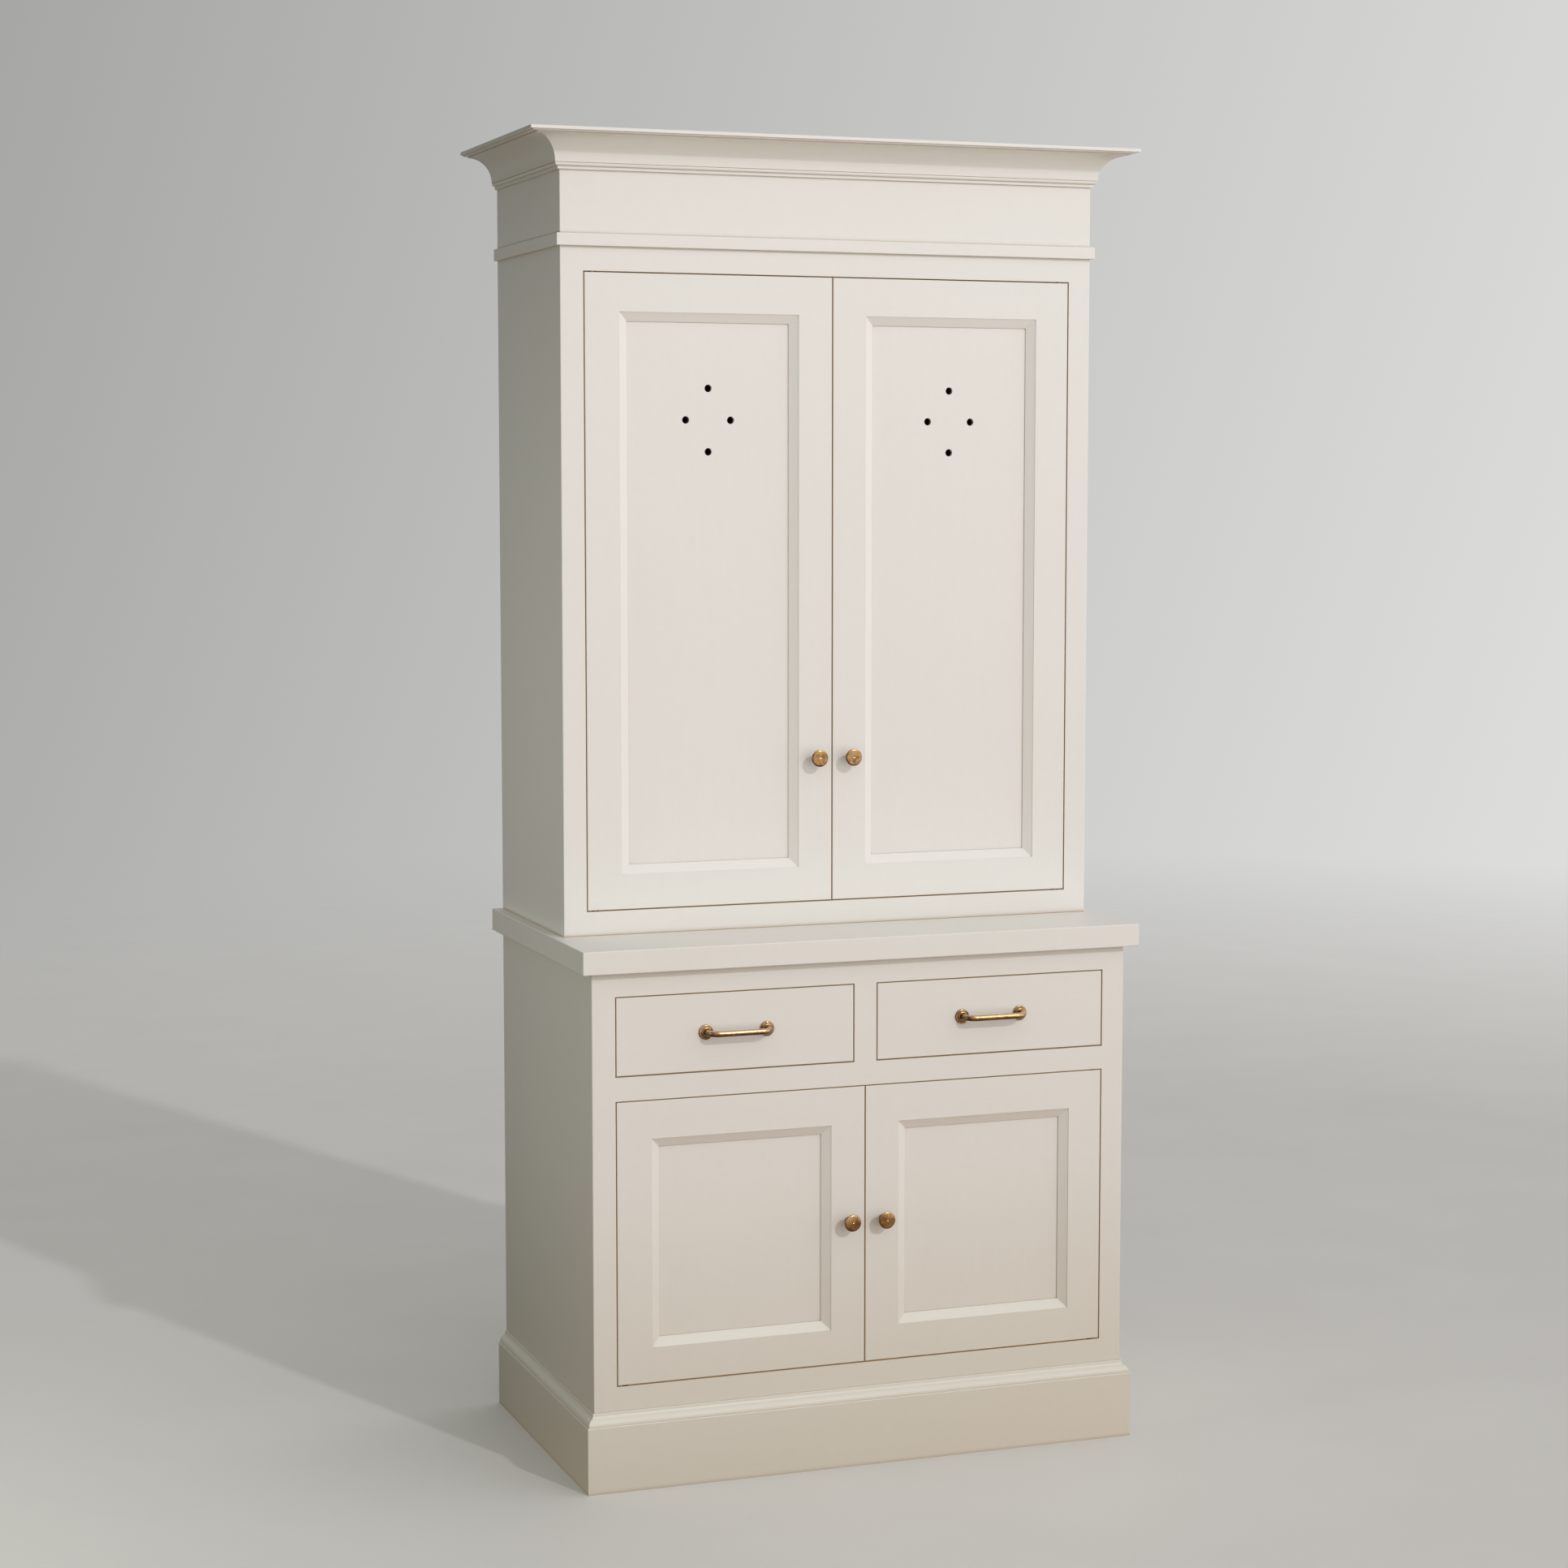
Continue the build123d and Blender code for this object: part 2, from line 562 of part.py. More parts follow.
def make_pivot_bushes():
    """Flanged bushes that the door pins turn in."""
    bushes = []
    collar_radius, collar = BUSH_COLLAR
    bore = PIVOT_RADIUS + PIVOT_CLEARANCE
    for face, (low, high) in ((UPPER_FACE, UPPER_DOOR_OPENING), (BASE_FACE, BASE_DOOR_OPENING)):
        y = face + PIVOT_DEPTH
        foot = upright_rod(-PIVOT_X, y, low - BUSH_LENGTH, low, BUSH_RADIUS)
        foot += upright_rod(-PIVOT_X, y, low, low + collar, collar_radius)
        head = upright_rod(-PIVOT_X, y, high, high + BUSH_LENGTH, BUSH_RADIUS)
        head += upright_rod(-PIVOT_X, y, high - collar, high, collar_radius)
        hole = upright_rod(-PIVOT_X, y, low - BUSH_LENGTH, high + BUSH_LENGTH, bore)
        bushes += both_sides([foot - hole, head - hole])
    write("pivot_bushes", *bushes)


# ---------------------------------------------------------------- hardware


def dome_run(rim, top):
    """The arc from a dome's rim to its top, with its centre on the axis."""
    rise = top - rim[1]
    radius = (rim[0] ** 2 + rise**2) / (2 * rise)
    halfway = rim[0] / 2
    return rim, (halfway, top - radius + (radius**2 - halfway**2) ** 0.5), (0, top)


def turned(runs):
    """A turned piece that stands out along -Y."""
    return Rot(0, 0, 180) * revolve(profile(runs), axis=Axis.Y)


def knob(x, face, z):
    """A mushroom knob: a foot, a slender neck and a wide, slightly domed head."""
    runs = [*KNOB_PROFILE, dome_run(KNOB_CROWN, KNOB_PROJECTION), ((0, KNOB_PROJECTION), (0, 0))]
    thread = level_rod(x, face - THREAD_DEPTH, face, z, SCREW_RADIUS + THREAD_CLEARANCE)
    return Pos(x, face, z) * turned(runs) - thread


def drawer_pull(x, face, z):
    """A round bar bent out of two roses."""
    reach = PULL_PROJECTION - PULL_BAR_RADIUS
    half = PULL_CENTRES / 2
    root = PULL_BAR_RADIUS - SCREW_RADIUS
    corners = [(-half, -root, 0), (-half, -reach, 0), (half, -reach, 0), (half, -root, 0)]
    path = FilletPolyline(*corners, radius=PULL_BEND)
    start = Plane(origin=corners[0], x_dir=(1, 0, 0), z_dir=(0, -1, 0))
    bar = sweep(start * Circle(PULL_BAR_RADIUS), path=path)
    pull = bar + Pos(-half, 0, 0) * turned(ROSE_PROFILE) + Pos(half, 0, 0) * turned(ROSE_PROFILE)
    for side in (-half, half):
        pull -= level_rod(side, -THREAD_DEPTH, 0, 0, SCREW_RADIUS + THREAD_CLEARANCE)
    return Pos(x, face, z) * pull


def machine_screw(x, face, z):
    """A screw through a front from behind, its slotted head against the rear face."""
    rear = face + DOOR_THICKNESS
    radius, height = SCREW_HEAD
    head = level_rod(x, rear, rear + height, z, radius)
    head = fillet(edges_at(head, y=(rear + height,)), SCREW_HEAD_ROUND)
    shank = level_rod(x, face - THREAD_DEPTH + THREAD_SPARE, rear, z, SCREW_RADIUS)
    slot_y = (rear + height - SCREW_SLOT, rear + height)
    return head + shank - board(x - radius, x + radius, *slot_y, z - SCREW_SLOT / 2, z + SCREW_SLOT / 2)


def front_hole(x, face, z):
    return level_rod(x, face, face + DOOR_THICKNESS, z, SCREW_HOLE_RADIUS)


# ---------------------------------------------------------------- doors


def bead_section():
    """The section of the sloped bead between a door's frame and its panel."""
    foot = BEAD_STEP - PANEL_DEPTH
    corners = [(0, -PANEL_DEPTH), (0, -BEAD_QUIRK), (BEAD_WIDTH, foot), (BEAD_WIDTH, -PANEL_DEPTH)]
    return make_face(Polyline(corners, close=True))


def door_beads(face, x0, x1, z0, z1):
    """Four mitred lengths of bead inside the frame's opening."""
    width = x1 - x0
    height = z1 - z0
    front = Plane(origin=(x0, face, z0), x_dir=(1, 0, 0), z_dir=(0, -1, 0))
    starts = ((0, 0), (width, 0), (width, height), (0, height))
    beads = []
    for quarter, (x, z) in enumerate(starts):
        length = (height, width)[quarter % 2]
        run = extrude(Plane.XZ * bead_section(), amount=-length)
        plan = [(0, 0), (BEAD_WIDTH, BEAD_WIDTH), (BEAD_WIDTH, length - BEAD_WIDTH), (0, length)]
        mitres = make_face(Polyline(plan, close=True))
        run &= extrude(Plane.XY.offset(-PANEL_DEPTH) * mitres, amount=PANEL_DEPTH)
        beads.append(front * Pos(x, z, 0) * Rot(0, 0, 90 * quarter) * run)
    return beads


def left_door(face, opening, knob_height, vented):
    """Every piece of a left-hand door, by the last part of its node's name."""
    x0 = GAP - OPENING_HALF
    x1 = -GAP / 2
    z0 = opening[0] + GAP
    z1 = opening[1] - GAP
    rear = face + DOOR_THICKNESS
    inner = (x0 + DOOR_STILE, x1 - DOOR_STILE, z0 + DOOR_BOTTOM_RAIL, z1 - DOOR_TOP_RAIL)
    panel_y = (face + PANEL_DEPTH, face + PANEL_DEPTH + PANEL_THICKNESS)

    tongue = (inner[0] - GROOVE, inner[1] + GROOVE, *panel_y)
    panel = board(*tongue, inner[2] - GROOVE, inner[3] + GROOVE)
    frame = []
    for a, b in ((x0, inner[0]), (inner[1], x1)):
        frame.append(board(a, b, face, rear, z0, z1) - board(*tongue, z0, z1))
    for rail in ((z0, inner[2]), (inner[3], z1)):
        frame.append(board(inner[0], inner[1], face, rear, *rail) + board(*tongue, *rail) - panel)
    frame = [round_face_edges(piece, face, (x0, x1), (z0, z1), DOOR_EDGE_ROUND) for piece in frame]

    pivot = (x0 + PIVOT_INSET, face + PIVOT_DEPTH)
    reach = GAP + BUSH_LENGTH - PIVOT_END_GAP
    pins = [
        upright_rod(*pivot, z0 - reach, z0 + PIVOT_IN_DOOR, PIVOT_RADIUS),
        upright_rod(*pivot, z1 - PIVOT_IN_DOOR, z1 + reach, PIVOT_RADIUS),
    ]
    frame[0] = cut(frame[0], pins)
    knob_x = x1 - KNOB_INSET
    frame[1] -= front_hole(knob_x, face, knob_height)

    if vented:
        middle = (inner[0] + inner[1]) / 2
        across, up = VENT_SPREAD
        for dx, dz in ((0, up), (-across, 0), (across, 0), (0, -up)):
            panel -= level_rod(middle + dx, *panel_y, VENT_HEIGHT + dz, VENT_RADIUS)

    width, thickness, height = STRIKE
    strike_x = (x1 - STRIKE_INSET - width, x1 - STRIKE_INSET)
    strike_z = opening[1] - (CATCH[2] + height) / 2
    strike = board(*strike_x, rear, rear + thickness, strike_z, strike_z + height)
    return {
        "frame": frame,
        "bead": door_beads(face, *inner),
        "panel": [panel],
        "knob": [knob(knob_x, face, knob_height)],
        "fittings": pins + [machine_screw(knob_x, face, knob_height), strike],
    }


def make_doors():
    stages = (
        ("upper", UPPER_FACE, UPPER_DOOR_OPENING, UPPER_KNOB_HEIGHT, True),
        ("lower", BASE_FACE, BASE_DOOR_OPENING, BASE_KNOB_HEIGHT, False),
    )
    for stage, face, opening, knob_height, vented in stages:
        for name, pieces in left_door(face, opening, knob_height, vented).items():
            write(f"{stage}_left_door_{name}", *pieces)
            write(f"{stage}_right_door_{name}", *mirrored(pieces))


# ---------------------------------------------------------------- drawers


def dovetails(x0, x1, rear, z0, z1):
    """The tails on the front end of a drawer side, which fill sockets in the drawer front."""
    length, half, flare = TAIL
    pitch = (z1 - z0) / TAIL_COUNT
    tails = []
    for index in range(TAIL_COUNT):
        z = z0 + pitch * (index + 1 / 2)
        corners = [(x0, rear, z - half), (x0, rear - length, z - half - flare)]
        corners += [(x0, rear - length, z + half + flare), (x0, rear, z + half)]
        outline = make_face(Polyline(corners, close=True))
        tails.append(extrude(outline, amount=x1 - x0, dir=(1, 0, 0)))
    return tails


def right_drawer():
    """Every piece of the right-hand drawer, by the last part of its node's name."""
    x0 = FRAME_STILE / 2 + GAP
    x1 = OPENING_HALF - GAP
    z0 = DRAWER_OPENING[0] + GAP
    z1 = DRAWER_OPENING[1] - GAP
    rear = BASE_FACE + DOOR_THICKNESS
    end = rear + DRAWER_LENGTH
    box_x = (x0 + DRAWER_SIDE_CLEARANCE, x1 - DRAWER_SIDE_CLEARANCE)
    low, high = DRAWER_BOX

    bottom_x = (box_x[0] + DRAWER_SIDE / 2, box_x[1] - DRAWER_SIDE / 2)
    bottom_z = (low + DRAWER_BOTTOM_RAISE, low + DRAWER_BOTTOM_RAISE + DRAWER_BOTTOM)
    bottom = board(*bottom_x, rear - DRAWER_SIDE / 2, end, *bottom_z)
    sides = []
    for a, b in ((box_x[0], box_x[0] + DRAWER_SIDE), (box_x[1] - DRAWER_SIDE, box_x[1])):
        side = board(a, b, rear, end, low, high)
        for tail in dovetails(a, b, rear, bottom_z[1], high):
            side += tail
        sides.append(side - bottom)
    back_y = (end - DRAWER_SIDE - DRAWER_BACK_INSET, end - DRAWER_BACK_INSET)
    back_x = (box_x[0] + DRAWER_SIDE, box_x[1] - DRAWER_SIDE)
    back = board(*back_x, *back_y, bottom_z[1], high - DRAWER_BACK_INSET)

    middle = (x0 + x1) / 2
    height = (z0 + z1) / 2
    feet = (middle - PULL_CENTRES / 2, middle + PULL_CENTRES / 2)
    screws = [machine_screw(x, BASE_FACE, height) for x in feet]
    holes = [front_hole(x, BASE_FACE, height) for x in feet]
    front = board(x0, x1, BASE_FACE, rear, z0, z1)
    front = round_face_edges(front, BASE_FACE, (x0, x1), (z0, z1), DOOR_EDGE_ROUND)
    front = cut(front, sides + [bottom] + holes)
    return {
        "front": [front],
        "box": sides + [back],
        "bottom": [bottom],
        "pull": [drawer_pull(middle, BASE_FACE, height)],
        "pull_screws": screws,
    }


def make_drawers():
    for name, pieces in right_drawer().items():
        write(f"right_drawer_{name}", *pieces)
        write(f"left_drawer_{name}", *mirrored(pieces))


# ---------------------------------------------------------------- the whole armoire

os.makedirs("parts", exist_ok=True)
make_plinth()
base_pins = make_base()
make_drawer_slides()
make_countertop()
make_joining_screws()
upper_pins = make_upper()
write("shelf_pins", *both_sides(base_pins + upper_pins))
write("base_shelf", make_shelf(BASE_SHELF, BASE_FACE))
write("upper_shelves", *[make_shelf(underside, UPPER_FACE) for underside in UPPER_SHELVES])
write("back_screws", *[screw for z in BASE_SCREW_HEIGHTS + UPPER_SCREW_HEIGHTS for screw in back_screws(z)])
make_catches()
make_pivot_bushes()
make_doors()
make_drawers()
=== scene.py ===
"""Painted two-stage armoire in a plain studio: materials, light, floor and camera round the CAD frame."""

import json
import math

import bpy
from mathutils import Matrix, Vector


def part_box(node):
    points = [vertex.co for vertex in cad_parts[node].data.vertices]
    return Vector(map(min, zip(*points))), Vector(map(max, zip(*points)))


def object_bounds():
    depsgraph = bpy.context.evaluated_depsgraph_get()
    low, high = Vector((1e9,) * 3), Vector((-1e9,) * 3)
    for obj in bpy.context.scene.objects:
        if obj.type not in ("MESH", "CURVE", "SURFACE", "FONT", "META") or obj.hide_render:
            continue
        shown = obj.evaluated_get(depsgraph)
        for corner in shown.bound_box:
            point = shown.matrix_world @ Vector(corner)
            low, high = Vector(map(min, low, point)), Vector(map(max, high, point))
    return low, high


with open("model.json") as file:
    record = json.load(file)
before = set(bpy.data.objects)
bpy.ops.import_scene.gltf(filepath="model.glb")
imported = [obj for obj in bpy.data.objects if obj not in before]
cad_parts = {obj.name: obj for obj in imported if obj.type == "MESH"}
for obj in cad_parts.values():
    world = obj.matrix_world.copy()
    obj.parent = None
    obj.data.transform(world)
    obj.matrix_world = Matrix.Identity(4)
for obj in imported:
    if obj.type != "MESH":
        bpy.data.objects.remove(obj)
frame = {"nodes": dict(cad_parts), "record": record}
CAD_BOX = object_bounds()

# ---------------------------------------------------------------- places, in metres

NODES = frame["nodes"]
SLOT_OF = {part["node"]: part["material_slot"] for part in frame["record"]["subparts"]}

BASE_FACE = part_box("base_face_frame")[0].y
UPPER_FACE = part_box("upper_face_frame")[0].y
HALF_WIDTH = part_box("base_face_frame")[1].x
FRAME_STILE = 0.039
OPENING_HALF = -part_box("base_left_side")[0].x - FRAME_STILE
DRAWER_SIDE = 0.013
AIM = (CAD_BOX[0] + CAD_BOX[1]) / 2

CAMERA_PLACE = Vector((-1.894, -5.070, 1.627))
CAMERA_TURN = (84.645, 0.0, -19.988)
CAMERA_LENS = 72.54
CAMERA_SENSOR = 36.0

AXES = ("X", "Y", "Z")

# ---------------------------------------------------------------- node helpers


def add(tree, kind, inputs=None, **settings):
    """A shader node with its settings, and each input either linked to a socket or set to a value."""
    node = tree.nodes.new(kind)
    for name, value in settings.items():
        setattr(node, name, value)
    for name, value in (inputs or {}).items():
        if isinstance(value, bpy.types.NodeSocket):
            tree.links.new(value, node.inputs[name])
        else:
            node.inputs[name].default_value = value
    return node


def new_material(name, **values):
    """A material with its Principled shader's constant sockets set."""
    material = bpy.data.materials.new(name)
    material.use_nodes = True
    shader = material.node_tree.nodes["Principled BSDF"]
    for socket, value in values.items():
        shader.inputs[socket.replace("_", " ")].default_value = value
    return material, material.node_tree, shader


def place(tree, scale=(1.0, 1.0, 1.0)):
    """A point of the row frame at rest, scaled along each axis."""
    point = add(tree, "ShaderNodeTexCoord").outputs["Object"]
    return add(tree, "ShaderNodeMapping", {"Vector": point, "Scale": scale}).outputs["Vector"]


def noise(tree, vector, scale, detail=3.0, roughness=0.5, distortion=0.0):
    inputs = {"Vector": vector, "Scale": scale, "Detail": detail}
    inputs |= {"Roughness": roughness, "Distortion": distortion}
    return add(tree, "ShaderNodeTexNoise", inputs).outputs["Fac"]


def remap(tree, value, low, high, to_low=0.0, to_high=1.0):
    """The value's stretch from low to high, spread over to_low to to_high."""
    inputs = {"Value": value, "From Min": low, "From Max": high, "To Min": to_low, "To Max": to_high}
    return add(tree, "ShaderNodeMapRange", inputs).outputs["Result"]


def mix(tree, factor, first, second, blend="MIX"):
    """Two colours mixed; either may be a socket or an RGB triple."""
    node = add(tree, "ShaderNodeMix", data_type="RGBA", blend_type=blend)
    for index, value in ((0, factor), (6, first), (7, second)):
        if isinstance(value, bpy.types.NodeSocket):
            tree.links.new(value, node.inputs[index])
        else:
            node.inputs[index].default_value = (*value, 1.0) if index else value
    return node.outputs[2]


def math_node(tree, operation, *values):
    node = add(tree, "ShaderNodeMath", operation=operation)
    for index, value in enumerate(values):
        if isinstance(value, bpy.types.NodeSocket):
            tree.links.new(value, node.inputs[index])
        else:
            node.inputs[index].default_value = value
    return node.outputs[0]


def bumps(tree, *layers):
    """A normal from several (height, depth in metres) layers laid on one another."""
    normal = None
    for height, depth in layers:
        inputs = {"Height": height, "Distance": depth, "Strength": 1.0}
        if normal is not None:
            inputs["Normal"] = normal
        normal = add(tree, "ShaderNodeBump", inputs).outputs["Normal"]
    return normal


def openness(tree, distance):
    """How much of the space within a distance of the surface is free: low in quirks, slots and corners."""
    return add(tree, "ShaderNodeAmbientOcclusion", {"Distance": distance}, samples=5).outputs["AO"]


def stretched(axis, along, across):
    """A scale for streaks that run along one axis."""
    return tuple(along if name == axis else across for name in AXES)


def link(tree, shader, **sockets):
    for name, socket in sockets.items():
        tree.links.new(socket, shader.inputs[name.replace("_", " ")])


# ---------------------------------------------------------------- materials

PAINT = (0.782, 0.760, 0.718)
PAINT_WARM = (0.768, 0.735, 0.682)
PANEL_PAINT = (0.784, 0.757, 0.719)
# Painted shade: the brown laid into quirks, slots and corners, where shade falls.
CREVICE_SHADE = (0.33, 0.215, 0.095)
SLOT_GLOW = (0.11, 0.075, 0.03)
INTERIOR_PAINT = (0.74, 0.69, 0.61)
# Painted shade: the paint turns darker and warmer towards the floor.
FLOOR_SHADE = (0.885, 0.875, 0.80)
FLOOR_SHADE_REACH = (0.5, 0.02)
# Reach and strength of the painted shade in quirks and corners; the countertop gets less of it.
QUIRK_REACH = 0.012
CORNER_REACH = 0.003
QUIRK_SHADE = 0.9
CORNER_SHADE = 0.55
COUNTER_SHADE = 0.3


def paint(name, colour, axis, roughness=0.42, crease_shade=1.0):
    """Satin brushed paint: dapple, fine strokes along one axis, and painted shade in quirks and corners.

    Ambient occlusion finds the quirks and corners for that brown painted shade. Towards the floor the paint
    is painted darker and warmer, as shade. Deep in a narrow gap the paint also glows a faint brown: painted
    bounce light standing in for the light that real paint bounces about in there.
    """
    material, tree, shader = new_material(name, IOR=1.48, Emission_Strength=1.0)
    point = place(tree)
    cloud = noise(tree, point, 2.2, detail=4.0)
    dapple = noise(tree, point, 75.0, detail=3.0)
    streak = noise(tree, place(tree, stretched(axis, 5.0, 170.0)), 1.0, detail=3.0, roughness=0.6)
    base = mix(tree, remap(tree, cloud, 0.35, 0.7, 0.0, 0.35), colour, PAINT_WARM)
    shade = remap(tree, dapple, 0.25, 0.75, 0.985, 1.0)
    shade = math_node(tree, "MULTIPLY", shade, remap(tree, streak, 0.3, 0.7, 0.99, 1.0))
    height = add(tree, "ShaderNodeSeparateXYZ", {"Vector": place(tree)}).outputs["Z"]
    # Painted shade: darker and warmer from half a metre down to the floor.
    base = mix(tree, remap(tree, height, *FLOOR_SHADE_REACH), base, FLOOR_SHADE, blend="MULTIPLY")
    toned = add(tree, "ShaderNodeVectorMath", {0: base, 3: shade}, operation="SCALE").outputs[0]
    # Painted shade: ambient occlusion lays brown into quirks and corners.
    depth = openness(tree, QUIRK_REACH)
    corner = remap(tree, openness(tree, CORNER_REACH), 0.8, 0.45, 0.0, CORNER_SHADE * crease_shade)
    quirk = remap(tree, depth, 0.68, 0.3, 0.0, QUIRK_SHADE * crease_shade)
    crease_shade_mask = math_node(tree, "MAXIMUM", quirk, corner)
    waves = noise(tree, point, 16.0, detail=1.0)
    link(
        tree,
        shader,
        Base_Color=mix(tree, crease_shade_mask, toned, CREVICE_SHADE),
        Emission_Color=mix(tree, remap(tree, depth, 0.3, 0.14), (0.0, 0.0, 0.0), SLOT_GLOW),
        Roughness=remap(tree, streak, 0.25, 0.75, roughness - 0.05, roughness + 0.07),
        Normal=bumps(tree, (waves, 0.0003), (dapple, 0.00008), (streak, 0.00004)),
    )
    return material


def oiled_wood(name, axis, light=(0.56, 0.38, 0.215), dark=(0.36, 0.215, 0.105)):
    """Clear-oiled hardwood with growth rings and short pores along the grain."""
    material, tree, shader = new_material(name, IOR=1.45)
    wander = noise(tree, place(tree, stretched(axis, 1.5, 9.0)), 1.0, detail=4.0, distortion=0.6)
    rings = math_node(tree, "SINE", math_node(tree, "MULTIPLY", wander, 70.0))
    pores = noise(tree, place(tree, stretched(axis, 60.0, 1400.0)), 1.0, detail=2.0, roughness=0.7)
    grain = remap(tree, rings, -1.0, 1.0, 0.15, 0.85)
    base = mix(tree, grain, light, dark)
    pitted = remap(tree, pores, 0.62, 0.7, 0.0, 0.55)
    link(
        tree,
        shader,
        Base_Color=mix(tree, pitted, base, (0.2, 0.115, 0.055)),
        Roughness=remap(tree, grain, 0.0, 1.0, 0.48, 0.6),
        Normal=bumps(tree, (rings, 0.00003), (pores, 0.00008)),
    )
    return material


BRASS_PALE = (0.44, 0.25, 0.092)
BRASS_BROWN = (0.20, 0.098, 0.032)
BRASS_RUBBED = (0.62, 0.42, 0.20)
BRASS_UPWARD_HIGHLIGHT = (0.80, 0.60, 0.36)
BRASS_PATINA_AND_SHADE = (0.055, 0.028, 0.011)
RECESS_REACH = 0.009
STEP_REACH = 0.003


def aged_brass():
    """Antique brass under a thin lacquer, with a softly mottled brown patina.

    It is paler where rubbed, with a painted highlight on faces that look up. It is darker with patina
    and painted shade in recesses, and with painted shade on faces that look down or sideways while
    the piece is at rest.
    """
    material, tree, shader = new_material("aged_brass", Metallic=1.0, Coat_Weight=0.35, Coat_Roughness=0.08)
    point = place(tree)
    mottle = noise(tree, point, 110.0, detail=3.0)
    speckle = noise(tree, point, 900.0, detail=2.0)
    patina = mix(tree, remap(tree, mottle, 0.4, 0.6), BRASS_PALE, BRASS_BROWN)
    rubbed = remap(tree, noise(tree, point, 55.0, detail=2.0), 0.5, 0.66, 0.0, 0.6)
    base = mix(tree, rubbed, patina, BRASS_RUBBED)
    spots = remap(tree, speckle, 0.62, 0.72, 0.0, 0.35)
    facing = add(tree, "ShaderNodeSeparateXYZ", {"Vector": add(tree, "ShaderNodeTexCoord").outputs["Normal"]})
    # Painted highlight: faces that look up turn paler.
    base = mix(tree, remap(tree, facing.outputs["Z"], 0.2, 0.6, 0.0, 0.7), base, BRASS_UPWARD_HIGHLIGHT)
    sideways = math_node(tree, "ABSOLUTE", facing.outputs["X"])
    # Dark speckles, patina with painted shade in recesses and steps, and painted shade on faces that look
    # down or sideways.
    patina_and_shade = spots
    for darkening in (
        remap(tree, openness(tree, RECESS_REACH), 0.95, 0.5, 0.0, 0.95),
        remap(tree, openness(tree, STEP_REACH), 0.9, 0.55, 0.0, 0.9),
        remap(tree, facing.outputs["Z"], -0.15, -0.7, 0.0, 0.85),
        remap(tree, sideways, 0.35, 0.85, 0.0, 0.75),
    ):
        patina_and_shade = math_node(tree, "MAXIMUM", patina_and_shade, darkening)
    link(
        tree,
        shader,
        Base_Color=mix(tree, patina_and_shade, base, BRASS_PATINA_AND_SHADE),
        Roughness=remap(tree, mottle, 0.3, 0.7, 0.17, 0.3),
        Normal=bumps(tree, (mottle, 0.00003), (speckle, 0.000005)),
    )
    return material


def zinc_steel():
    """Zinc-plated steel, faintly spangled."""
    material, tree, shader = new_material("zinc_steel", Metallic=1.0)
    point = place(tree)
    spangle = add(tree, "ShaderNodeTexVoronoi", {"Vector": point, "Scale": 700.0}).outputs["Color"]
    tone = mix(tree, 0.18, (0.56, 0.56, 0.57), spangle, blend="OVERLAY")
    scuffs = noise(tree, point, 260.0, detail=4.0)
    link(
        tree,
        shader,
        Base_Color=tone,
        Roughness=remap(tree, scuffs, 0.3, 0.7, 0.28, 0.46),
        Normal=bumps(tree, (scuffs, 0.00002)),
    )
    return material


def catch_plastic():
    """Moulded ivory plastic with a spark-eroded texture."""
    material, tree, shader = new_material("catch_plastic", IOR=1.46)
    grit = noise(tree, place(tree), 1600.0, detail=2.0)
    link(
        tree,
        shader,
        Base_Color=mix(tree, remap(tree, grit, 0.3, 0.7), (0.62, 0.58, 0.50), (0.68, 0.645, 0.57)),
        Roughness=remap(tree, grit, 0.3, 0.7, 0.5, 0.62),
        Normal=bumps(tree, (grit, 0.00004)),
    )
    return material


# ---------------------------------------------------------------- which way a piece is brushed


def longest_axis(node):
    low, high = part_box(node)
    return max(range(3), key=lambda index: high[index] - low[index])


def framed_axis(low, high, centre):
    """Z on what stands beside an opening, X on what crosses above or below it."""
    return 0 if low.x < centre.x < high.x else 2


def assign_by_axis(node, materials, axis_at):
    """Give each face of a node the material that is brushed along its own board."""
    mesh = NODES[node].data
    mesh.materials.clear()
    for material in materials:
        mesh.materials.append(material)
    for polygon in mesh.polygons:
        polygon.material_index = axis_at(polygon.center)


def axis_rule(node):
    """How the faces of a node tell the axis their board is brushed along."""
    whole = longest_axis(node)
    low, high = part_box(node)
    if node.endswith("door_frame"):
        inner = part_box(node.replace("_frame", "_bead"))
        return lambda centre: framed_axis(*inner, centre)
    if node.endswith("face_frame"):
        return lambda centre: 2 if abs(centre.x) > OPENING_HALF else 0
    if node.endswith("door_bead"):
        return lambda centre: bead_axis(low, high, centre)
    if node in ("plinth_boards", "plinth_moulding", "frieze_band", "cornice"):
        face = UPPER_FACE if low.z > AIM.z else BASE_FACE
        return lambda centre: 0 if face - centre.y > abs(centre.x) - HALF_WIDTH else 1
    if node.endswith("drawer_box"):
        return lambda centre: 0 if low.x + DRAWER_SIDE < centre.x < high.x - DRAWER_SIDE else 1
    return lambda centre: whole


def bead_axis(low, high, centre):
    beside = min(centre.x - low.x, high.x - centre.x)
    above = min(centre.z - low.z, high.z - centre.z)
    return 2 if beside < above else 0


def finish_of(node):
    """The materials a node gets: those of its slot, but door panels and the countertop have their own."""
    if node.endswith("door_panel"):
        return "panel"
    return "counter" if node == "countertop" else SLOT_OF[node]


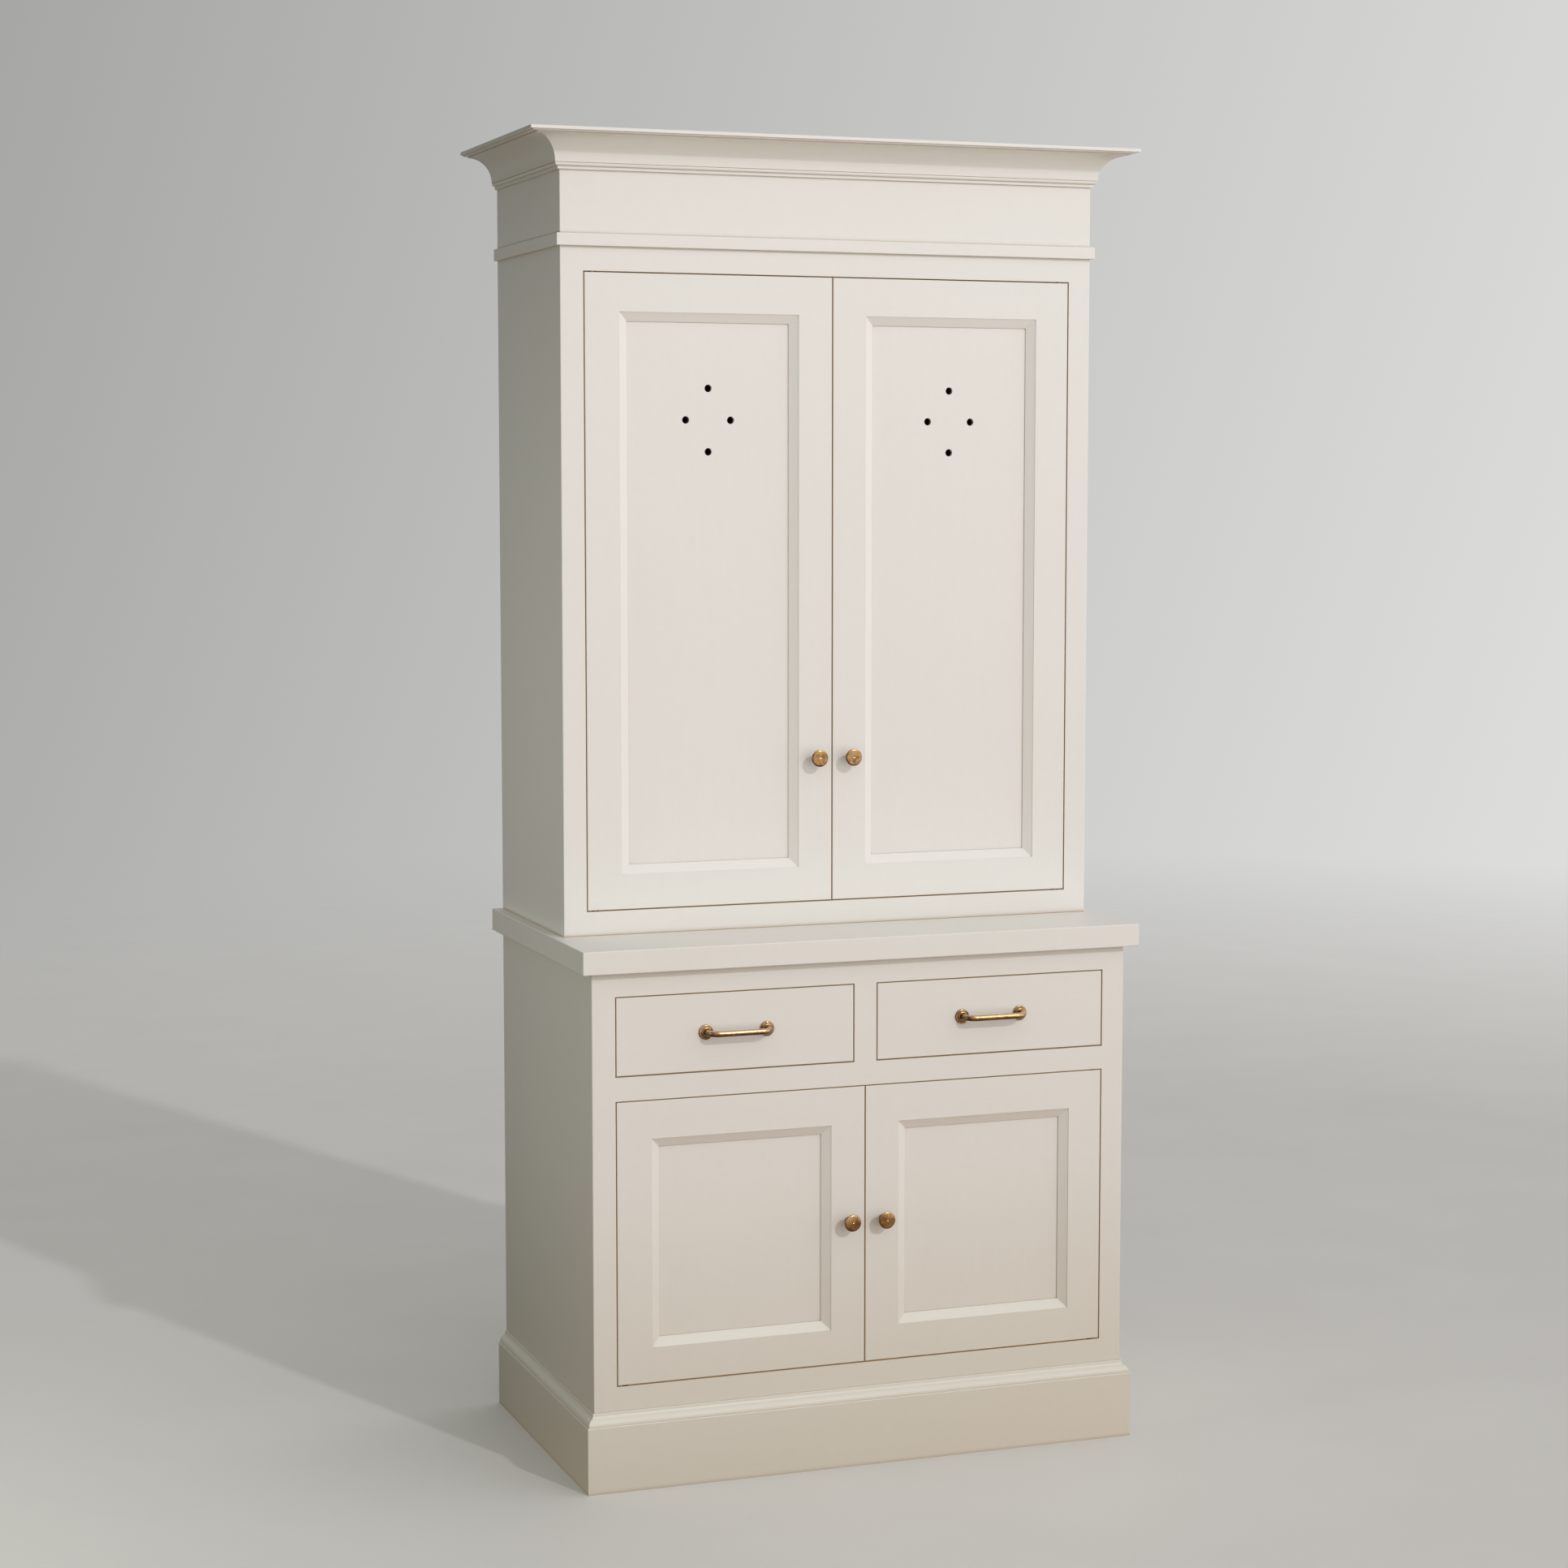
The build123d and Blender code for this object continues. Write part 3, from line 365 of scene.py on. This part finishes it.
def dress():
    """Every node gets its materials, brushed or grained along its own boards."""
    by_axis = {
        "painted_wood": [paint(f"satin_paint_{axis}", PAINT, axis) for axis in AXES],
        "panel": [paint(f"panel_paint_{axis}", PANEL_PAINT, axis) for axis in AXES],
        "counter": [paint(f"counter_paint_{axis}", PAINT, axis, crease_shade=COUNTER_SHADE) for axis in AXES],
        "painted_interior": [paint(f"interior_paint_{axis}", INTERIOR_PAINT, axis, 0.55) for axis in AXES],
        "bare_wood": [oiled_wood(f"oiled_wood_{axis}", axis) for axis in AXES],
    }
    plain = {"aged_brass": aged_brass(), "steel": zinc_steel(), "catch_plastic": catch_plastic()}
    for node in NODES:
        slot = finish_of(node)
        if slot in plain:
            NODES[node].data.materials.clear()
            NODES[node].data.materials.append(plain[slot])
        else:
            assign_by_axis(node, by_axis[slot], axis_rule(node))


# ---------------------------------------------------------------- studio

FLOOR_RADIUS = 9.0
FLOOR_FADE = (0.35, 0.98)
FLOOR_COLOUR = (0.70, 0.685, 0.66)
FLOOR_MOTTLE = (0.675, 0.66, 0.635)
BOUNCE_CENTRE = (-2.0, 1.6, -0.002)
BOUNCE_RADIUS = 5.4
BOUNCE_DIM = (0.045, 0.023, 0.013)
BOUNCE_LIT = (0.36, 0.24, 0.14)
BOUNCE_DIRECTION = Vector((0.5, -0.86, 0.0))
BOUNCE_REACH = (-0.6, 0.5)
KEY_DIRECTION = Vector((0.305, -0.824, 0.48))
KEY_POWER = 0.7
KEY_ANGLE = 0.028
KEY_COLOUR = (1.0, 0.955, 0.99)
SKY_DIRECTION = Vector((0.80, -0.52, -0.30))
SKY_DARK = (0.03, 0.038, 0.033)
SKY_BRIGHT = (1.36, 1.353, 1.335)
FILL_PLACE = Vector((-2.3, -0.35, 1.15))
FILL = {"size": 0.8, "power": 8.5, "colour": (0.95, 1.0, 0.88)}
FLAG_PLACE = Vector((-1.0, -0.5, 2.15))
FLAG_SIZE = (0.36, 1.3, 1.0)
GLINT_PLACE = Vector((0.9, -1.75, 3.1))
GLINT = {"size": 1.3, "power": 6.5, "colour": (1.0, 0.97, 0.92)}


def disc(name, radius, centre):
    bpy.ops.mesh.primitive_circle_add(vertices=96, radius=radius, fill_type="NGON", location=centre)
    floor = bpy.context.object
    floor.name = name
    return floor


def make_floor():
    """A pale floor that fades out with distance, and an unseen glowing disc that stands in for its bounce."""
    floor = disc("studio_floor", FLOOR_RADIUS, (0.0, 0.0, 0.0))
    material, tree, shader = new_material("studio_floor")
    point = place(tree)
    mottle = noise(tree, point, 3.0, detail=5.0)
    distance = add(tree, "ShaderNodeVectorMath", {0: point}, operation="LENGTH").outputs["Value"]
    link(
        tree,
        shader,
        Base_Color=mix(tree, remap(tree, mottle, 0.3, 0.7), FLOOR_COLOUR, FLOOR_MOTTLE),
        Roughness=remap(tree, mottle, 0.3, 0.7, 0.62, 0.75),
        Alpha=remap(tree, distance, *(FLOOR_RADIUS * part for part in FLOOR_FADE), 1.0, 0.0),
        Normal=bumps(tree, (noise(tree, point, 220.0, detail=3.0), 0.0002)),
    )
    floor.data.materials.append(material)
    floor.visible_diffuse = False
    floor.visible_glossy = False

    bounce = disc("studio_bounce", BOUNCE_RADIUS, BOUNCE_CENTRE)
    material, tree, shader = new_material("studio_bounce", Roughness=1.0, Base_Color=(0.0, 0.0, 0.0, 1.0))
    towards = {0: add(tree, "ShaderNodeNewGeometry").outputs["Position"], 1: BOUNCE_DIRECTION}
    reach = add(tree, "ShaderNodeVectorMath", towards, operation="DOT_PRODUCT").outputs["Value"]
    link(tree, shader, Emission_Color=mix(tree, remap(tree, reach, *BOUNCE_REACH), BOUNCE_DIM, BOUNCE_LIT))
    shader.inputs["Emission Strength"].default_value = 1.0
    bounce.data.materials.append(material)
    bounce.visible_camera = False


def make_flag():
    """A dark card out of the camera's sight, beside the cornice, that keeps the light off its left corner."""
    bpy.ops.mesh.primitive_plane_add(size=1.0, location=FLAG_PLACE, rotation=(0.0, math.radians(90.0), 0.0))
    flag = bpy.context.object
    flag.name = "studio_flag"
    flag.scale = FLAG_SIZE
    flag.visible_camera = False
    flag.visible_glossy = False
    material, tree, shader = new_material("studio_flag", Roughness=1.0)
    cloth = noise(tree, place(tree), 400.0)
    link(tree, shader, Base_Color=mix(tree, cloth, (0.02, 0.018, 0.015), (0.04, 0.035, 0.028)))
    flag.data.materials.append(material)


def area_light(name, location, size, power, colour):
    """A square soft box that looks at the middle of the armoire."""
    light = bpy.data.lights.new(name, "AREA")
    light.size = size
    light.energy = power
    light.color = colour
    lamp = bpy.data.objects.new(name, light)
    bpy.context.scene.collection.objects.link(lamp)
    lamp.location = location
    lamp.rotation_euler = (AIM - location).to_track_quat("-Z", "Y").to_euler()
    return lamp


def make_lights():
    """A key from the front right, a fill from the left, and a lamp that only reflections see.

    The backdrop is bright towards the front right and dim at the left rear.
    """
    key = bpy.data.lights.new("key", "SUN")
    key.energy = KEY_POWER
    key.angle = KEY_ANGLE
    key.color = KEY_COLOUR
    lamp = bpy.data.objects.new("key", key)
    bpy.context.scene.collection.objects.link(lamp)
    lamp.rotation_euler = (-KEY_DIRECTION).to_track_quat("-Z", "Y").to_euler()
    area_light("fill", FILL_PLACE, **FILL)
    glint = area_light("glint", GLINT_PLACE, **GLINT)
    glint.visible_diffuse = False
    glint.visible_camera = False

    world = bpy.data.worlds.new("studio")
    world.use_nodes = True
    tree = world.node_tree
    direction = add(tree, "ShaderNodeTexCoord").outputs["Generated"]
    towards = {0: direction, 1: SKY_DIRECTION.normalized()}
    facing = add(tree, "ShaderNodeVectorMath", towards, operation="DOT_PRODUCT").outputs["Value"]
    sky = mix(tree, remap(tree, facing, -1.0, 1.0), SKY_DARK, SKY_BRIGHT)
    tree.links.new(sky, tree.nodes["Background"].inputs["Color"])
    bpy.context.scene.world = world


def make_camera():
    camera = bpy.data.objects.new("camera", bpy.data.cameras.new("camera"))
    bpy.context.scene.collection.objects.link(camera)
    camera.data.lens = CAMERA_LENS
    camera.data.sensor_width = CAMERA_SENSOR
    camera.location = CAMERA_PLACE
    camera.rotation_euler = [math.radians(angle) for angle in CAMERA_TURN]
    bpy.context.scene.camera = camera


dress()
make_floor()
make_flag()
make_lights()
make_camera()
bpy.context.scene.view_settings.view_transform = "Standard"
